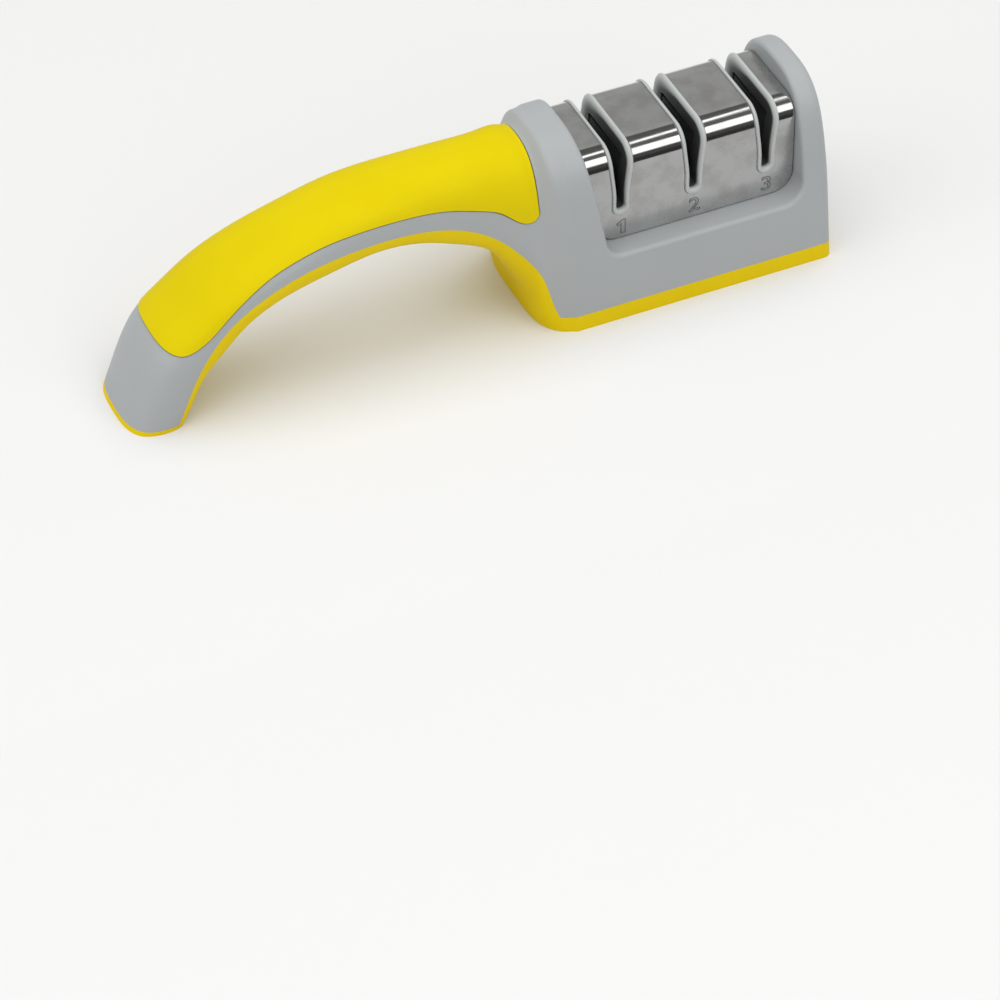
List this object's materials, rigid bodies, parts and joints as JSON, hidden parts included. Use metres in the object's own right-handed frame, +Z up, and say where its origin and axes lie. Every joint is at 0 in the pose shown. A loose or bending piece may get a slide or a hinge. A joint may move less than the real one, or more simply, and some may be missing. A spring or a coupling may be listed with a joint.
{
  "type": "pull through knife sharpener",
  "caption": "Handheld pull through knife sharpener with a curved handle and a slotted steel cover over crossed abrasives.",
  "frame": {"origin": "middle of the flat base under the head, on the surface that the sharpener stands on", "axes": "+X from the handle to the front of the head, +Z up, the side with the stage numbers faces -Y"},
  "size_m": [0.2001, 0.0448, 0.0553],
  "materials": {
    "grey_plastic": "satin moulded",
    "yellow_rubber": "soft matt",
    "dark_plastic": "plain moulded",
    "brushed_steel": "fine grain",
    "light_plastic": "satin moulded",
    "carbide": "ground",
    "diamond_rod": "fine grit",
    "ceramic": "fine matt",
    "screw_steel": "bright plated"
  },
  "bodies": {
    "root": {"body_shell": "grey_plastic", "handle_grip": "yellow_rubber", "underside_skin": "yellow_rubber", "underside_cover": "dark_plastic", "cover_screws": "screw_steel", "handle_screw": "screw_steel", "steel_cover": "brushed_steel", "housing_screws": "screw_steel", "carbide_housing": "light_plastic", "carbide_holder": "dark_plastic", "carbide_blade_left": "carbide", "carbide_blade_right": "carbide", "diamond_housing": "light_plastic", "diamond_holder": "dark_plastic", "diamond_rod_left": "diamond_rod", "diamond_rod_right": "diamond_rod", "ceramic_housing": "light_plastic", "ceramic_holder": "dark_plastic", "ceramic_rod_left": "ceramic", "ceramic_rod_right": "ceramic"}
  },
  "joints": []
}
